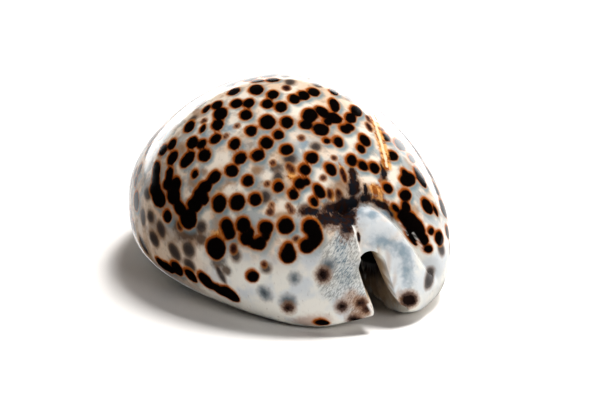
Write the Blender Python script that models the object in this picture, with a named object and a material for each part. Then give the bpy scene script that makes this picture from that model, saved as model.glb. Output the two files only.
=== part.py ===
"""Tiger cowrie shell, base down: +Z up, +Y to the front end, +X to the outer lip. Metres."""
from math import comb, pi

import bpy
import numpy as np

# Overall length, and where the middle of the finished shell lies in the drawing below
LENGTH = 0.0880
MIDDLE = (-0.00125, -0.00041, 0.0)

# The outside, by control values from the rear to the front end
OUTSIDE = {
    "ends": (-0.0440, 0.0440),
    "left": (0.0605, 0.0580, 0.0655, 0.0630, 0.0430),
    "right": (0.0710, 0.0585, 0.0540, 0.0535, 0.0420),
    "top": (0.0475, 0.0562, 0.0590, 0.0510, 0.0385),
    "shift": (-0.0010, 0.0, 0.0, 0.0, 0.0010),
    "waist": (0.0040, 0.0150, 0.0160, 0.0125, 0.0060),
    "floor": -0.0005,
    "curl": (0.162, 0.120),
    "power": (1.95, 3.05),
}

# The hollow inside: thin over the back, thick along the base
HOLLOW = {
    "ends": (-0.0343, 0.0385),
    "left": (0.0530, 0.0540, 0.0590, 0.0585, 0.0380),
    "right": (0.0620, 0.0545, 0.0475, 0.0490, 0.0370),
    "top": (0.0320, 0.0470, 0.0475, 0.0425, 0.0330),
    "shift": (0.0, 0.0005, 0.0005, 0.0005, 0.0010),
    "waist": (0.0120, 0.0170, 0.0180, 0.0150, 0.0088),
    "floor": 0.0060,
    "curl": (0.250, 0.250),
    "power": (1.95, 2.40),
}

# The mouth runs the whole length of the base and ends in two canals
MOUTH_LINE = (-0.0005, 0.0030, 0.0060, 0.0060, 0.0048, 0.0020)
REAR_CANAL = {"x": -0.0005, "top": 0.0149, "half": 0.0032}
FRONT_CANAL = {"x": 0.0020, "top": 0.0100, "half": 0.0031}
REAR_CANAL_IN = {"x": -0.0004, "top": 0.0156, "half": 0.0041}
FRONT_CANAL_IN = {"x": 0.0020, "top": 0.0116, "half": 0.0039}
LIP_HALF = 0.0060
LIP_HALF_IN = 0.0040
MOUTH_CORNER = 0.50
REAR_SPAN = (0.0260, 0.0375)
FRONT_SPAN = (0.0240, 0.0360)

# The canals widen towards the base, which rounds off the corners of the lobes beside them
CANAL_FLARE = 0.0012
FLARE_HEIGHT = 0.0045

# How far the lips swell into the mouth and the canals, and how deep their inner faces run
LIP_ROUND = 0.0050
CANAL_ROUND = 0.0009
LIP_DEPTH = 0.0034
CANAL_DEPTH = 0.0030
INNER_TURN = 0.45
LIP_RISE = 0.0008
LIP_RISE_WIDTH = 0.0045
LIP_RISE_FADE = (0.001, 0.006)

# Teeth along both lips, as shares of the lip's length, and fine ones beside the rear canal
TOOTH_COUNT = 24
TOOTH_HEIGHT = 0.0008
LEFT_TEETH = (0.06, 0.12, 0.90, 0.96)
RIGHT_TEETH = (0.0, 0.05, 0.92, 0.97)
TOOTH_SPAN = (0.10, 0.40, 0.60, 0.95)
CANAL_TOOTH_COUNT = 8
CANAL_TOOTH_HEIGHT = 0.0003
CANAL_TEETH_FROM = 0.55

# Both ends: how far the arch over each canal is set back
ARCH_SETBACK = 0.0016
ARCH_SETBACK_WIDTH = 0.0080
ARCH_SETBACK_RISE = (0.003, 0.011)
FRONT_SETBACK = 0.0022
FRONT_SETBACK_WIDTH = 0.0060
FRONT_SETBACK_RISE = (0.002, 0.008)

# Rear end: a collar over the canal, a crease behind it, the spire's pit and the left lobe's edge.
# Places are (x, z) as seen from behind.
CREASE = ((-0.0045, 0.0230), (0.0050, 0.0265), (0.0085, 0.0145), (0.0155, 0.0045))
CREASE_DEPTH = 0.0017
CREASE_WIDTH = 0.0013
CREASE_FADE = (0.0, 0.0080)
CREASE_STEPS = 60
COLLAR_RISE = 0.0007
COLLAR_WIDTH = 0.0032
COLLAR_RING = 0.0042
COLLAR_FADE = 0.004
PIT = (-0.0046, 0.0226)
PIT_DEPTH = 0.0020
PIT_SIZE = (0.0042, 0.0030)
SUTURE_X = -0.0040
SUTURE_BAND = (0.0110, 0.0135, 0.0190, 0.0215)
SUTURE_STEP = 0.0013
SUTURE_WIDTH = 0.0004
LOBE_FADE = 0.0110
END_ONLY = (0.0120, 0.0280)

# Grid: rows along the shell, columns across it, rings round the lips
ROWS = 96
COLUMNS = 24
RINGS = 6
HOLLOW_SKIP = 3
EDGE_STEP = 0.01

# Ranges of angle searched for the canals' edges from each pole, and for the lips
HALVINGS = 36
POLE_REACH = (1e-4, 1.3)
LIP_REACH = (-0.6, 1.5)

SHELL_COLOUR = (0.62, 0.53, 0.44, 1.0)
SHELL_ROUGHNESS = 0.16


def bernstein(t, values):
    """A smooth curve of t from 0 to 1 through a few control values."""
    n = len(values) - 1
    return sum(comb(n, i) * t**i * (1.0 - t) ** (n - i) * c for i, c in enumerate(values))


def ramp(x, low, high):
    """0 below low, 1 above high, smooth between."""
    t = np.clip((x - low) / (high - low), 0.0, 1.0)
    return t * t * (3.0 - 2.0 * t)


def bell(x, width):
    return np.exp(-((x / width) ** 2))


def unit(vectors):
    return vectors / np.maximum(np.linalg.norm(vectors, axis=-1, keepdims=True), 1e-15)


def ovoid(theta, phi, form):
    """theta runs from the rear pole to the front one, phi from the base up the left side and over."""
    t = 0.5 * (1.0 - np.cos(theta))
    swell = np.sqrt(np.clip(t * (1.0 - t), 0.0, None))
    left = swell * bernstein(t, form["left"])
    right = swell * bernstein(t, form["right"])
    top = swell * bernstein(t, form["top"])
    waist = bernstein(t, form["waist"])
    rear, front = form["curl"]
    rear_curl = np.clip(1.0 - t / rear, 0.0, 1.0) ** 3
    front_curl = np.clip(1.0 - (1.0 - t) / front, 0.0, 1.0) ** 3
    low = (waist - form["floor"]) * np.sqrt((1.0 - rear_curl) * (1.0 - front_curl))
    across = -np.sin(phi)
    upward = -np.cos(phi)
    side = across * (1.5 - 0.5 * across**2)
    over = upward * (1.5 - 0.5 * upward**2)
    breadth = np.maximum((left + right) / 2 + (right - left) / 2 * side, 1e-9)
    height = np.maximum((top + low) / 2 + (top - low) / 2 * over, 1e-9)
    upper, lower = form["power"]
    power = (upper + lower) / 2 + (upper - lower) / 2 * over
    radius = ((np.abs(across) / breadth) ** power + (np.abs(upward) / height) ** power) ** (-1.0 / power)
    first, last = form["ends"]
    x = bernstein(t, form["shift"]) + radius * across
    y = first + (last - first) * t + 0.0 * radius
    z = waist + radius * upward
    return np.stack([x, y, z], axis=-1)


def facing(theta, phi, form):
    """The outward direction of the ovoid."""
    h = 1e-4
    along = ovoid(theta + h, phi, form) - ovoid(theta - h, phi, form)
    around = ovoid(theta, phi + h, form) - ovoid(theta, phi - h, form)
    return unit(np.cross(around, along))


def fade_in_out(x, low, full, high, gone):
    """0 below low, 1 from full to high, 0 above gone."""
    return ramp(x, low, full) * (1.0 - ramp(x, high, gone))


def canal_distance(p, canal):
    """Seen from the end: how far a point is outside the canal's edge."""
    flare = CANAL_FLARE * (1.0 - ramp(p[..., 2], 0.0, FLARE_HEIGHT))
    aside = np.maximum(np.abs(p[..., 0] - canal["x"]) - flare, 0.0)
    rise = np.maximum(p[..., 2] - (canal["top"] - canal["half"]), 0.0)
    return np.hypot(aside, rise) - canal["half"]


def mouth_x(y):
    return bernstein(np.clip(y / LENGTH + 0.5, 0.0, 1.0), MOUTH_LINE)


def halve(test, shape, reach):
    """Bisection on arrays: test is true on the low side of reach."""
    low, high = np.full(shape, reach[0]), np.full(shape, reach[1])
    for _ in range(HALVINGS):
        mid = (low + high) / 2
        inside = test(mid)
        low = np.where(inside, mid, low)
        high = np.where(inside, high, mid)
    return (low + high) / 2


def grid_angles(u, v, form, rear, front, lip):
    """Angles of a grid round the mouth: u from left lip to right lip, v from rear to front, 0 to 1."""
    line = MOUTH_CORNER + (2 * pi - 2 * MOUTH_CORNER) * u
    flare = CANAL_FLARE * (1.0 - ramp(form["floor"], 0.0, FLARE_HEIGHT))

    def in_rear(theta):
        return canal_distance(ovoid(theta, line, form), rear) < 0

    def in_front(theta):
        return canal_distance(ovoid(pi - theta, line, form), front) < 0

    def half_gap(y):
        near = ramp(-y, *REAR_SPAN)
        far = ramp(y, *FRONT_SPAN)
        return lip + (rear["half"] + flare - lip) * near + (front["half"] + flare - lip) * far

    def lip_angle(side, theta):
        def in_mouth(angle):
            p = ovoid(theta, angle * side, form)
            return (mouth_x(p[..., 1]) - p[..., 0]) * side < half_gap(p[..., 1])

        return halve(in_mouth, theta.shape, LIP_REACH)

    first = halve(in_rear, line.shape, POLE_REACH)
    last = pi - halve(in_front, line.shape, POLE_REACH)
    theta = (1 - v) * first + v * last
    left_phi = lip_angle(1, theta[:, :1])
    right_phi = 2 * pi - lip_angle(-1, theta[:, -1:])
    lips = (1 - u) * left_phi + u * right_phi
    ends = (1 - u) * MOUTH_CORNER + u * (2 * pi - MOUTH_CORNER)
    return theta, lips + line - ends


def distance_to_curve(x, z, controls):
    """Distance in the end view to a smooth curve, and the length run along it."""
    t = np.linspace(0.0, 1.0, CREASE_STEPS)
    curve_x = bernstein(t, [c[0] for c in controls])
    curve_z = bernstein(t, [c[1] for c in controls])
    gap = np.hypot(x[..., None] - curve_x, z[..., None] - curve_z)
    run = np.concatenate([[0.0], np.cumsum(np.hypot(np.diff(curve_x), np.diff(curve_z)))])
    return gap.min(axis=-1), run[gap.argmin(axis=-1)], run[-1]


def rear_relief(p):
    """Height of the rear end's collar, crease, pit and lobe edge over the plain ovoid."""
    x, z = p[..., 0], p[..., 2]
    rear = ramp(-p[..., 1], *END_ONLY)
    gap, run, total = distance_to_curve(x, z, CREASE)
    held = 1.0 - ramp(run, total - CREASE_FADE[1], total - CREASE_FADE[0])
    crease = -CREASE_DEPTH * bell(gap, CREASE_WIDTH) * held
    ring = canal_distance(p, REAR_CANAL)
    right = ramp(x, SUTURE_X, SUTURE_X + COLLAR_FADE)
    collar = COLLAR_RISE * bell(ring - COLLAR_RING, COLLAR_WIDTH) * right
    pit = -PIT_DEPTH * bell(np.hypot((x - PIT[0]) / PIT_SIZE[0], (z - PIT[1]) / PIT_SIZE[1]), 1.0)
    edge = ramp(SUTURE_X - x, -SUTURE_WIDTH, SUTURE_WIDTH) * (1.0 - ramp(SUTURE_X - x, 0.0, LOBE_FADE))
    lobe = SUTURE_STEP * edge * fade_in_out(z, *SUTURE_BAND)
    return (crease + collar + pit + lobe) * rear


def outside(u, v):
    """The outer surface, with its ends set back over the canals and its base flat where it rests."""
    theta, phi = grid_angles(u, v, OUTSIDE, REAR_CANAL, FRONT_CANAL, LIP_HALF)
    p = ovoid(theta, phi, OUTSIDE)
    n = facing(theta, phi, OUTSIDE)
    y, z = p[..., 1], p[..., 2]
    rear_ring = np.maximum(canal_distance(p, REAR_CANAL), 0.0)
    front_ring = np.maximum(canal_distance(p, FRONT_CANAL), 0.0)
    rear_back = ARCH_SETBACK * bell(rear_ring, ARCH_SETBACK_WIDTH) * ramp(z, *ARCH_SETBACK_RISE)
    front_back = FRONT_SETBACK * bell(front_ring, FRONT_SETBACK_WIDTH) * ramp(z, *FRONT_SETBACK_RISE)
    set_back = rear_back * ramp(-y, *END_ONLY) - front_back * ramp(y, *END_ONLY)
    relief = rear_relief(p)
    from_lip = np.abs(p[..., 0] - mouth_x(y)) - LIP_HALF
    lift = LIP_RISE * bell(np.maximum(from_lip, 0.0), LIP_RISE_WIDTH) * (1.0 - ramp(z, *LIP_RISE_FADE))
    p = p + n * relief[..., None]
    p[..., 1] += set_back
    p[..., 2] = np.maximum(p[..., 2] + lift, 0.0)
    return p


def inside(u, v):
    theta, phi = grid_angles(u, v, HOLLOW, REAR_CANAL_IN, FRONT_CANAL_IN, LIP_HALF_IN)
    return ovoid(theta, phi, HOLLOW)


def around(grid):
    """The grid's border, rear end first, then the right lip, the front end and the left lip."""
    return np.concatenate([grid[0, :-1], grid[:-1, -1], grid[-1, :0:-1], grid[:0:-1, 0]])


def outward_at_border(surface, u, v):
    """Direction in which a surface runs on past its border, round the mouth."""
    near = np.array([0.0, EDGE_STEP, 1.0 - EDGE_STEP, 1.0])
    ends = surface(u, near[:, None])
    sides = surface(near[None, :], v)
    out = np.zeros((v.size, u.size, 3))
    out[0] = unit(ends[0] - ends[1])
    out[-1] = unit(ends[3] - ends[2])
    out[:, 0] += unit(sides[:, 0] - sides[:, 1])
    out[:, -1] += unit(sides[:, 3] - sides[:, 2])
    return unit(around(out))


def lips(u, v, outer, inner, rings):
    """Rounded strips from the outer border to the inner one, as rings of points, with their teeth."""
    start, stop = around(outer), around(inner)
    leave = outward_at_border(outside, u, v)
    arrive = outward_at_border(inside, u, v)
    back = unit(start - stop)
    arrive = unit(INNER_TURN * arrive + back)
    canal = np.maximum(ramp(-start[:, 1], *REAR_SPAN), ramp(start[:, 1], *FRONT_SPAN))[:, None]
    swell = LIP_ROUND + (CANAL_ROUND - LIP_ROUND) * canal
    depth = LIP_DEPTH + (CANAL_DEPTH - LIP_DEPTH) * canal
    w = np.linspace(0.0, 1.0, rings)[:, None, None]
    p = (1 - w) ** 3 * start + 3 * w * (1 - w) ** 2 * (start + leave * swell)
    p = p + 3 * w**2 * (1 - w) * (stop + arrive * depth) + w**3 * stop
    return p + teeth(p, u, v, w)


def teeth(p, u, v, w):
    """Ridges across both lips, finer at the rear canal's right side."""
    along = np.broadcast_to(v, (v.size, u.size))
    across = np.broadcast_to(u, (v.size, u.size))
    run, side = around(along), around(across)
    on_lip = ((side == 0.0) | (side == 1.0)) & (run > 0.0) & (run < 1.0)
    wave = 0.5 - 0.5 * np.cos(2 * pi * TOOTH_COUNT * run)
    fade = np.where(side == 0.0, fade_in_out(run, *LEFT_TEETH), fade_in_out(run, *RIGHT_TEETH))
    height = TOOTH_HEIGHT * wave * fade * on_lip
    share = (side - CANAL_TEETH_FROM) / (1.0 - CANAL_TEETH_FROM)
    fine = 0.5 - 0.5 * np.cos(2 * pi * CANAL_TOOTH_COUNT * share)
    height = height + CANAL_TOOTH_HEIGHT * fine * ((run == 0.0) & (share > 0.0))
    shape = fade_in_out(w, *TOOTH_SPAN)
    run_on = np.roll(p, -1, axis=1) - np.roll(p, 1, axis=1)
    run_in = np.gradient(p, axis=0)
    return unit(np.cross(run_in, run_on)) * (height[None, :, None] * shape)


def grid_faces(index):
    a, b, c, d = index[:-1, :-1], index[:-1, 1:], index[1:, 1:], index[1:, :-1]
    return np.stack([a, b, c, d], axis=-1).reshape(-1, 4).tolist()


def ring_faces(first, second):
    return [[first[i], first[i - 1], second[i - 1], second[i]] for i in range(len(first))]


def joining_faces(fine, coarse, skips):
    """Triangles between a fine ring and a coarse one; skips gives the fine steps of each coarse one."""
    faces = []
    at = 0
    for i, skip in enumerate(skips):
        a, b = coarse[i], coarse[(i + 1) % len(coarse)]
        for k in range(skip):
            tip = a if k < (skip + 1) // 2 else b
            faces.append([fine[(at + k + 1) % len(fine)], fine[(at + k) % len(fine)], tip])
        faces.append([a, b, fine[(at + (skip + 1) // 2) % len(fine)]])
        at += skip
    return faces


def shell_mesh():
    u = np.linspace(0.0, 1.0, COLUMNS + 1)[None, :]
    v = np.linspace(0.0, 1.0, ROWS + 1)[:, None]
    outer, inner = outside(u, v), inside(u, v)
    rings = lips(u, v, outer, inner, RINGS + 1)
    points = [outer.reshape(-1, 3)]
    outer_index = np.arange(outer.shape[0] * outer.shape[1]).reshape(outer.shape[:2])
    count = outer_index.size
    previous = around(outer_index).tolist()
    faces = grid_faces(outer_index)
    for ring in rings[1:-1]:
        points.append(ring)
        current = list(range(count, count + len(ring)))
        count += len(ring)
        faces += ring_faces(previous, current)
        previous = current
    coarse = inner[::HOLLOW_SKIP]
    points.append(coarse.reshape(-1, 3))
    inner_index = np.arange(count, count + coarse.shape[0] * coarse.shape[1]).reshape(coarse.shape[:2])
    faces += [face[::-1] for face in grid_faces(inner_index)]
    skips = ([1] * COLUMNS + [HOLLOW_SKIP] * (ROWS // HOLLOW_SKIP)) * 2
    faces += joining_faces(previous, around(inner_index).tolist(), skips)
    return np.concatenate(points) - np.array(MIDDLE), faces


def shell_material():
    material = bpy.data.materials.new("cowrie_enamel")
    material.use_nodes = True
    shader = material.node_tree.nodes["Principled BSDF"]
    shader.inputs["Base Color"].default_value = SHELL_COLOUR
    shader.inputs["Roughness"].default_value = SHELL_ROUGHNESS
    shader.inputs["Metallic"].default_value = 0.0
    return material


def make_shell():
    points, faces = shell_mesh()
    mesh = bpy.data.meshes.new("shell")
    mesh.from_pydata(points.tolist(), [], faces)
    mesh.validate()
    mesh.materials.append(shell_material())
    mesh.shade_smooth()
    shell = bpy.data.objects.new("shell", mesh)
    bpy.context.scene.collection.objects.link(shell)
    return shell


for old in list(bpy.data.objects):
    bpy.data.objects.remove(old, do_unlink=True)
make_shell()
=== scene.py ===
"""The looks of a tiger cowrie shell: its glossy spotted enamel, on a pale floor. Metres, +Z up."""
from math import comb, cos, pi, radians, sin

import bpy
import numpy as np
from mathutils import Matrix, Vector
from mathutils.bvhtree import BVHTree


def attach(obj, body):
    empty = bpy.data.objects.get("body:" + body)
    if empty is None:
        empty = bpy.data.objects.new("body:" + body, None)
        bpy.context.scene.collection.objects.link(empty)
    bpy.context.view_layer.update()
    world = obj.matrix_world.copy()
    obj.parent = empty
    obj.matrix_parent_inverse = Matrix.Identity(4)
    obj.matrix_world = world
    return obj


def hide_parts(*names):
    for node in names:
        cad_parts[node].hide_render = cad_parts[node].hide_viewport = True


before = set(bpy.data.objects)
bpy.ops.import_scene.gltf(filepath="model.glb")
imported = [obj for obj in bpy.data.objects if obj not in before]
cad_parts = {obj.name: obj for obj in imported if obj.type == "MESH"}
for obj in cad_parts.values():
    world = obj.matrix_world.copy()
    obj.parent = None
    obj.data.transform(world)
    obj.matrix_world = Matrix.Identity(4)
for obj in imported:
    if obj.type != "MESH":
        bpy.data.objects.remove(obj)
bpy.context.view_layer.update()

# The camera: its direction as seen from the shell, its distance, its aim and its lens in millimetres
CAMERA_TURN = radians(-29.2)
CAMERA_RISE = radians(18.0)
CAMERA_DISTANCE = 0.420
CAMERA_AIM = Vector((0.00762, 0.00041, 0.0118))
CAMERA_LENS = 117.1
SENSOR = 36.0
PHOTO_WIDTH = 612
PHOTO_HEIGHT = 408

# The shell's form, with the same values as the solid
LENGTH = 0.0880
MIDDLE = (-0.00125, -0.00041, 0.0)

# The outside, by control values from the rear to the front end
OUTSIDE = {
    "ends": (-0.0440, 0.0440),
    "left": (0.0605, 0.0580, 0.0655, 0.0630, 0.0430),
    "right": (0.0710, 0.0585, 0.0540, 0.0535, 0.0420),
    "top": (0.0475, 0.0562, 0.0590, 0.0510, 0.0385),
    "shift": (-0.0010, 0.0, 0.0, 0.0, 0.0010),
    "waist": (0.0040, 0.0150, 0.0160, 0.0125, 0.0060),
    "floor": -0.0005,
    "curl": (0.162, 0.120),
    "power": (1.95, 3.05),
}

# The hollow inside: thin over the back, thick along the base
HOLLOW = {
    "ends": (-0.0343, 0.0385),
    "left": (0.0530, 0.0540, 0.0590, 0.0585, 0.0380),
    "right": (0.0620, 0.0545, 0.0475, 0.0490, 0.0370),
    "top": (0.0320, 0.0470, 0.0475, 0.0425, 0.0330),
    "shift": (0.0, 0.0005, 0.0005, 0.0005, 0.0010),
    "waist": (0.0120, 0.0170, 0.0180, 0.0150, 0.0088),
    "floor": 0.0060,
    "curl": (0.250, 0.250),
    "power": (1.95, 2.40),
}

# The mouth runs the whole length of the base and ends in two canals
MOUTH_LINE = (-0.0005, 0.0030, 0.0060, 0.0060, 0.0048, 0.0020)
REAR_CANAL = {"x": -0.0005, "top": 0.0149, "half": 0.0032}
FRONT_CANAL = {"x": 0.0020, "top": 0.0100, "half": 0.0031}
REAR_CANAL_IN = {"x": -0.0004, "top": 0.0156, "half": 0.0041}
FRONT_CANAL_IN = {"x": 0.0020, "top": 0.0116, "half": 0.0039}
LIP_HALF = 0.0060
LIP_HALF_IN = 0.0040
MOUTH_CORNER = 0.50
REAR_SPAN = (0.0260, 0.0375)
FRONT_SPAN = (0.0240, 0.0360)

# The canals widen towards the base, which rounds off the corners of the lobes beside them
CANAL_FLARE = 0.0012
FLARE_HEIGHT = 0.0045

# How far the lips swell into the mouth and the canals, and how deep their inner faces run
LIP_ROUND = 0.0050
CANAL_ROUND = 0.0009
LIP_DEPTH = 0.0034
CANAL_DEPTH = 0.0030
INNER_TURN = 0.45
LIP_RISE = 0.0008
LIP_RISE_WIDTH = 0.0045
LIP_RISE_FADE = (0.001, 0.006)

# Teeth along both lips, as shares of the lip's length, and fine ones beside the rear canal
TOOTH_COUNT = 24
TOOTH_HEIGHT = 0.0008
LEFT_TEETH = (0.06, 0.12, 0.90, 0.96)
RIGHT_TEETH = (0.0, 0.05, 0.92, 0.97)
TOOTH_SPAN = (0.10, 0.40, 0.60, 0.95)
CANAL_TOOTH_COUNT = 8
CANAL_TOOTH_HEIGHT = 0.0003
CANAL_TEETH_FROM = 0.55

# How far the furrows between the teeth show on the outside, beside the rear canal and along the lips
CANAL_FURROW_REACH = 0.0011
CANAL_FURROW_FROM = (0.030, 0.036)
LIP_FURROW_REACH = 0.0030
LIP_FURROW_TOP = 0.0040
LIP_FURROW_END = 0.030
LIP_FURROW_SHARE = 0.5

# Both ends: how far the arch over each canal is set back
ARCH_SETBACK = 0.0016
ARCH_SETBACK_WIDTH = 0.0080
ARCH_SETBACK_RISE = (0.003, 0.011)
FRONT_SETBACK = 0.0022
FRONT_SETBACK_WIDTH = 0.0060
FRONT_SETBACK_RISE = (0.002, 0.008)

# Rear end: a collar over the canal, a crease behind it, the spire's pit and the left lobe's edge.
# Places are (x, z) as seen from behind.
CREASE = ((-0.0045, 0.0230), (0.0050, 0.0265), (0.0085, 0.0145), (0.0155, 0.0045))
CREASE_DEPTH = 0.0017
CREASE_WIDTH = 0.0013
CREASE_FADE = (0.0, 0.0080)
CREASE_STEPS = 60
COLLAR_RISE = 0.0007
COLLAR_WIDTH = 0.0032
COLLAR_RING = 0.0042
COLLAR_FADE = 0.004
PIT = (-0.0046, 0.0226)
PIT_DEPTH = 0.0020
PIT_SIZE = (0.0042, 0.0030)
SUTURE_X = -0.0040
SUTURE_BAND = (0.0110, 0.0135, 0.0190, 0.0215)
SUTURE_STEP = 0.0013
SUTURE_WIDTH = 0.0004
LOBE_FADE = 0.0110
END_ONLY = (0.0120, 0.0280)

# The mesh: a fine grid over the outside, rings round the lips, and a coarse grid inside
ROWS = 264
COLUMNS = 240
RINGS = 18
HOLLOW_SKIP = 4
EDGE_STEP = 0.01
HALVINGS = 36
POLE_REACH = (1e-4, 1.3)
LIP_REACH = (-0.6, 1.5)

# Spots read off the photograph, in its pixels: a middle and a radius, or a middle, two half-lengths
# and, where it isn't level, the turn in degrees of the first one
SPOTS = {
    "dark": (
        (234, 91.5, 5.5, 2.8, 25), (217, 105, 5, 3.4, 25), (206.5, 109, 4.5, 2, 45),
        (220.5, 113.5, 6.5, 5.2, 25), (236.5, 103.5, 5.3, 4.2, 15), (217.5, 125, 5.3, 4.6, 20),
        (189.5, 126.5, 6, 3.8, 50), (203, 128.5, 4, 1.8, 65), (172, 144.5, 5.5, 3, 60),
        (163, 150, 5.5, 3, 60), (192.5, 142.5, 6, 4.5, 50), (201.8, 144, 4.8), (215.5, 139, 5.7),
        (235, 144, 5.2, 4.5, 60), (172.5, 158, 7, 3.8, 62), (187.5, 159.5, 9, 4.6, 50),
        (204.5, 155.5, 6, 5.2, 40), (240.5, 158.5, 5.8), (156.5, 169, 7, 3.2, 85), (155.5, 179, 7, 3.4, 88),
        (155, 189, 6.5, 5, 80), (158.5, 198, 9, 5.8, 110), (169.5, 174, 6, 3, 78), (168, 184, 5.5, 4.3, 70),
        (176, 184.5, 7, 4.3, 85), (173.5, 196, 7.5, 6, 90), (180, 208.5, 6.5, 5, 120),
        (188.5, 219.5, 8.8, 7.6, 90), (194.5, 205, 6.8, 6.4), (200, 194.5, 6.3, 5.5, 30),
        (205, 187, 6, 5, 30), (204.5, 200, 4.5, 3.5, 70), (209.5, 182.5, 2.6), (215, 177, 6),
        (195, 174.5, 3.8, 2.6, 65), (232, 171, 5.7, 5.2), (219.5, 203.5, 8, 6.2, 80), (237.5, 202.5, 7.4),
        (226.8, 226, 6, 5.3, 90), (229.3, 233, 6), (216, 248.5, 10.5, 8.6, 100),
        (167.5, 216.5, 5.5, 3.8, 90), (256.5, 89.5, 6.3, 4.8), (273, 94.5, 4.8, 4), (273, 80, 5.5, 1.8),
        (258, 81, 5.5, 1.2, 5), (294.5, 99, 5, 4, -30), (304, 95.5, 5.2, 4, -25), (314, 92, 5.3, 3.6, -25),
        (334, 92, 4, 2.2, -40), (249, 103, 5, 4, 20), (267.5, 104, 5, 4.2), (281, 107, 5, 4.8),
        (246, 115, 5.2, 4.8), (267.5, 122, 7, 6.6), (287, 122.5, 5.5, 5.2), (251, 131, 5, 4.6),
        (278.5, 135, 4.6, 4.2), (266.5, 143, 5.6, 5.3), (287, 150, 5.5), (258, 155.5, 6),
        (310, 115.5, 7, 6.3), (306, 125, 5.5), (321, 129.5, 7.5), (322.5, 112, 7, 4, -35), (328, 122, 4),
        (334, 118, 7.5), (334.5, 105, 6.8, 4, -70), (327, 141, 3), (338.5, 142, 5, 3.7, -60),
        (312, 158, 5.5, 5), (305, 170, 5, 4.5, -45), (331, 169.5, 6.3, 4, -52), (300, 183.5, 5),
        (306.5, 182, 3), (293.5, 194.5, 4.8, 4.2, -55), (319.5, 191.5, 6.8, 4.2, -55),
        (314.5, 202.5, 4.3, 2.9, -55), (248, 181, 5.2), (255.5, 199.5, 5.7), (278.5, 187, 4.8, 4.2, 60),
        (286, 226, 7.3), (266, 228, 6.3), (266.5, 236, 3.5), (243.4, 225, 6.7), (250, 232.5, 3.5),
        (246.5, 238.5, 6), (253.5, 243.5, 4), (260, 243.5, 6), (288.8, 247.5, 3.8), (288.3, 255, 7.2),
        (311, 227, 7.6), (315.5, 236, 6.5, 7.5), (307, 246, 6.3), (314, 243, 5), (253, 276.7, 5.2, 4.8),
        (356.5, 111, 5.6, 4, -45), (351, 118, 4.8, 4.4, -45), (345, 129.5, 5), (350, 127, 4.5),
        (365, 140.5, 6, 3.9, -52), (361.3, 149, 4.3, 2.8, -55), (352, 160.5, 5.2, 4.4, -60),
        (363, 166, 4.7), (374.5, 168, 5.2, 4, -60), (388, 188.5, 5), (400, 145, 6.6, 3, -48),
        (412, 159, 4.2, 2, -55), (392.5, 156, 5.3, 4, -15), (386, 137.5, 4.2, 2.8, -40), (405.5, 174, 4.8),
        (408.5, 179.5, 7, 6.3), (403, 181, 3.4), (405.5, 195.3, 5.3, 5), (406, 207, 5),
        (420.5, 177.5, 11, 2.8, -62), (427.5, 206.5, 7.8, 4, -60), (435.5, 210.5, 5.5, 1.1, -68),
        (431.3, 231.5, 3, 2.5, 90), (439.5, 238.5, 6.5, 3.8, -82), (428.5, 249, 3.8, 3.4), (404, 215.5, 6),
        (411, 221, 8.5), (416, 229, 9.5, 8, 50), (419, 230, 7.5), (424, 239, 5.5, 4, -62),
        (412, 238, 9, 1.8, -62), (396, 208.5, 4.5, 2, -50), (162, 264.5, 8, 2.3, -44),
        (177, 269, 7.5, 4, -55), (206, 281, 10, 4, -48), (168.5, 268, 7, 2.4, -44), (191, 276, 8, 3, -46),
        (219, 290, 9, 3, -38), (230, 294.5, 11, 4, -37), (322, 323, 6.5, 2.2, -4),
    ),
    # Greyer spots: near the outline and low on the left flank the grey is a painted reflection veiling dark
    # spots; on the middle of the back they are paler spots of the shell
    "grey": (
        (290, 82, 4.3, 2.6), (285, 76, 4, 1.5), (300, 75.7, 4, 1.3, -5), (317, 84.5, 4.2, 1.6, -30),
        (311, 79.3, 3.5, 1.2, -20), (323, 81.7, 4.5, 1.5, -25), (348.5, 97.5, 4.6, 2, -35),
        (371, 106.5, 6, 0.9, -38), (379, 115.5, 3.7, 1.2, -38), (394, 127.5, 4.2, 1.8, -48),
        (192.5, 119.5, 4.5, 2, 45), (147.5, 193.5, 5, 3, 90), (143, 217, 8, 2.1, -86),
        (150.5, 216.5, 5.5, 3, -85), (161, 229, 8, 3.2, -76), (154, 239, 8, 3.4, -66),
        (143.5, 245, 9, 2, -63), (174.5, 252, 9.5, 3.8, -60), (188.5, 249.5, 7.3, 5, -70),
        (189.5, 265.5, 7, 3.7, -55), (221, 275, 9, 1.8, -62), (266, 268.3, 3.6, 3.2), (201.5, 227, 4, 4.8),
        (278, 178, 4, 5), (265.5, 197, 4, 5), (316, 147, 4, 3.4), (290, 159, 5, 4), (305.5, 210, 5, 4.5),
        (430, 278, 10, 3.3, 85), (236, 256, 3.6, 4.2), (441.5, 249, 6, 2.6, -80),
    ),
    "brown": (
        (204, 121, 3, 2.2, 30), (237, 126, 2.8), (226, 136, 2.7), (301.5, 138, 2.8), (272.8, 163, 2.9),
        (288.5, 166, 3, 2.4), (292, 170, 3.1), (267.5, 184, 2.5), (323, 178, 2.8), (334, 158, 2.5),
        (286.5, 88, 3.8, 2.6, -15), (288.5, 206, 2.6), (291.5, 211, 2.4), (270, 212, 3.2), (271.5, 205, 2),
        (180, 225.5, 4.5), (233.3, 248.7, 3, 4.5), (296.5, 239, 2.9), (264, 264.5, 2.3),
        (329.5, 194, 5, 2.6, -78), (339.5, 196, 7, 2.8, -76), (368.5, 119, 3.8, 1.5, -58),
        (369, 127, 5, 2, -58), (381.5, 130.5, 2.9, 2, -50), (343.5, 175, 8, 2.2, -72),
    ),
    "fringed": (
        (323, 275, 5, 5.5), (288.3, 308, 4, 3), (409, 300, 8, 6.6), (342, 306.5, 4, 3.5), (361, 303, 4, 3),
        (366, 309, 2.6, 2.2), (355, 319.5, 6, 1.8, 3),
    ),
    "blue_spot": (
        (264.5, 293.5, 6, 3.6, -55), (288, 302, 6, 5), (294.5, 278, 3, 3.4), (328, 266, 4.5, 5),
    ),
}
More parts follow.
